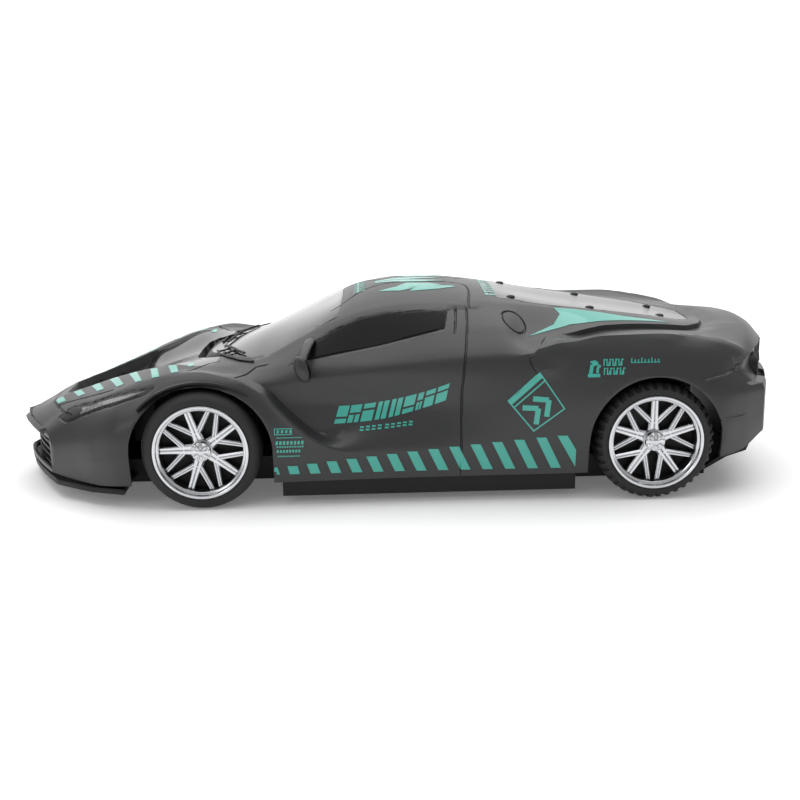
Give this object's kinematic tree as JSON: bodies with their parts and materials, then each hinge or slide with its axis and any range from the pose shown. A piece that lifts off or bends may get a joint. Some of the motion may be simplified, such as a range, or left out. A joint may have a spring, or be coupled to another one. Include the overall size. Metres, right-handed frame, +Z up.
{
  "type": "remote-controlled drift car",
  "caption": "Low mid-engined coupe model car with bodyshell on a tub chassis, geared rear drive, servo steering and multi-spoke wheels.",
  "frame": {"origin": "on the ground plane, midway along the car's length and width", "axes": "-X out of the nose, +X out of the tail, +Y to the car's right side, +Z up"},
  "size_m": [0.294, 0.1242, 0.0742],
  "materials": {
    "shell_plastic": "satin moulded",
    "window_plastic": "gloss",
    "black_plastic": "matt",
    "lamp_clear": "clear gloss",
    "lamp_red": "gloss",
    "tyre": "matt",
    "rim_chrome": "plated plastic",
    "steel": "machined",
    "nylon": "moulded",
    "board": "solder mask",
    "battery_wrap": "shrink film",
    "bronze": "sintered",
    "brass": "cut",
    "wire": "satin",
    "decal_teal": "printed"
  },
  "bodies": {
    "chassis": {"body_shell": "shell_plastic", "body_posts": "shell_plastic", "windscreen": "window_plastic", "side_window_left": "window_plastic", "side_window_right": "window_plastic", "engine_cover": "shell_plastic", "engine_cover_screws": "black_plastic", "headlight_left": "lamp_clear", "headlight_right": "lamp_clear", "headlight_boards": "board", "tail_lamps": "lamp_red", "front_grille": "black_plastic", "front_splitter": "black_plastic", "rear_diffuser": "black_plastic", "exhaust_tips": "rim_chrome", "mirror_left": "shell_plastic", "mirror_right": "shell_plastic", "chassis_tub": "black_plastic", "chassis_screws": "steel", "front_top_plate": "black_plastic", "king_pins": "steel", "servo_case": "black_plastic", "gearbox_case": "black_plastic", "gearbox_cover": "black_plastic", "gearbox_screws": "steel", "motor_can": "steel", "compound_shaft": "steel", "rear_bushes": "bronze", "circuit_board": "board", "battery_pack": "battery_wrap", "battery_door": "black_plastic", "battery_door_screw": "steel", "switch_housing": "black_plastic", "motor_wires": "wire", "battery_leads": "wire"},
    "knuckle_left": {"knuckle_left": "black_plastic", "wheel_screw_left": "steel"},
    "knuckle_right": {"knuckle_right": "black_plastic", "wheel_screw_right": "steel"},
    "front_wheel_left": {"front_tyre_left": "tyre", "front_rim_left": "rim_chrome", "front_cap_left": "rim_chrome"},
    "front_wheel_right": {"front_tyre_right": "tyre", "front_rim_right": "rim_chrome", "front_cap_right": "rim_chrome"},
    "tie_rod": {"tie_rod": "nylon"},
    "servo_arm": {"servo_arm": "nylon"},
    "trim_dial": {"trim_dial": "black_plastic"},
    "switch_knob": {"switch_knob": "black_plastic"},
    "rear_axle": {"rear_axle": "steel", "axle_gear": "nylon", "rear_tyres": "tyre", "rear_rims": "rim_chrome", "rear_caps": "rim_chrome"},
    "compound_gear": {"compound_gear": "nylon"},
    "motor_rotor": {"motor_shaft": "steel", "motor_pinion": "brass"}
  },
  "joints": [
    {"name": "steer_left", "type": "hinge", "parent": "chassis", "child": "knuckle_left", "pos_m": [-0.07, -0.042, 0.0217], "axis": [0, 0, 1], "range_deg": [-15, 15]},
    {"name": "steer_right", "type": "hinge", "parent": "chassis", "child": "knuckle_right", "pos_m": [-0.07, 0.042, 0.0217], "axis": [0, 0, 1], "range_deg": [-15.2, 15.2]},
    {"name": "tie_rod_slide", "type": "slide", "parent": "chassis", "child": "tie_rod", "axis": [0, 1, 0], "range_m": [-0.003, 0.003]},
    {"name": "servo_turn", "type": "hinge", "parent": "chassis", "child": "servo_arm", "pos_m": [-0.052, 0, 0.031], "axis": [0, 0, 1], "range_deg": [-19, 19]},
    {"name": "front_left_spin", "type": "hinge", "parent": "knuckle_left", "child": "front_wheel_left", "pos_m": [-0.07, -0.056, 0.0217], "axis": [0, 1, 0], "continuous": true},
    {"name": "front_right_spin", "type": "hinge", "parent": "knuckle_right", "child": "front_wheel_right", "pos_m": [-0.07, 0.056, 0.0217], "axis": [0, 1, 0], "continuous": true},
    {"name": "rear_axle_spin", "type": "hinge", "parent": "chassis", "child": "rear_axle", "pos_m": [0.094, 0, 0.0217], "axis": [0, 1, 0], "continuous": true},
    {"name": "compound_spin", "type": "hinge", "parent": "chassis", "child": "compound_gear", "pos_m": [0.07976, 0, 0.02421], "axis": [0, 1, 0], "continuous": true},
    {"name": "motor_spin", "type": "hinge", "parent": "chassis", "child": "motor_rotor", "pos_m": [0.06598, 0, 0.02276], "axis": [0, 1, 0], "continuous": true},
    {"name": "switch_slide", "type": "slide", "parent": "chassis", "child": "switch_knob", "axis": [1, 0, 0], "range_m": [0, 0.003]},
    {"name": "trim_turn", "type": "hinge", "parent": "chassis", "child": "trim_dial", "pos_m": [-0.0355, 0, 0.003], "axis": [0, 0, 1], "range_deg": [-25, 25]}
  ],
  "couplings": [
    {"joint": "steer_right", "follows": "steer_left", "ratio": 1},
    {"joint": "tie_rod_slide", "follows": "steer_left", "m_per_rad": 0.01},
    {"joint": "servo_turn", "follows": "steer_left", "ratio": -1.2},
    {"joint": "compound_spin", "follows": "rear_axle_spin", "ratio": -3},
    {"joint": "motor_spin", "follows": "rear_axle_spin", "ratio": 10.8}
  ]
}
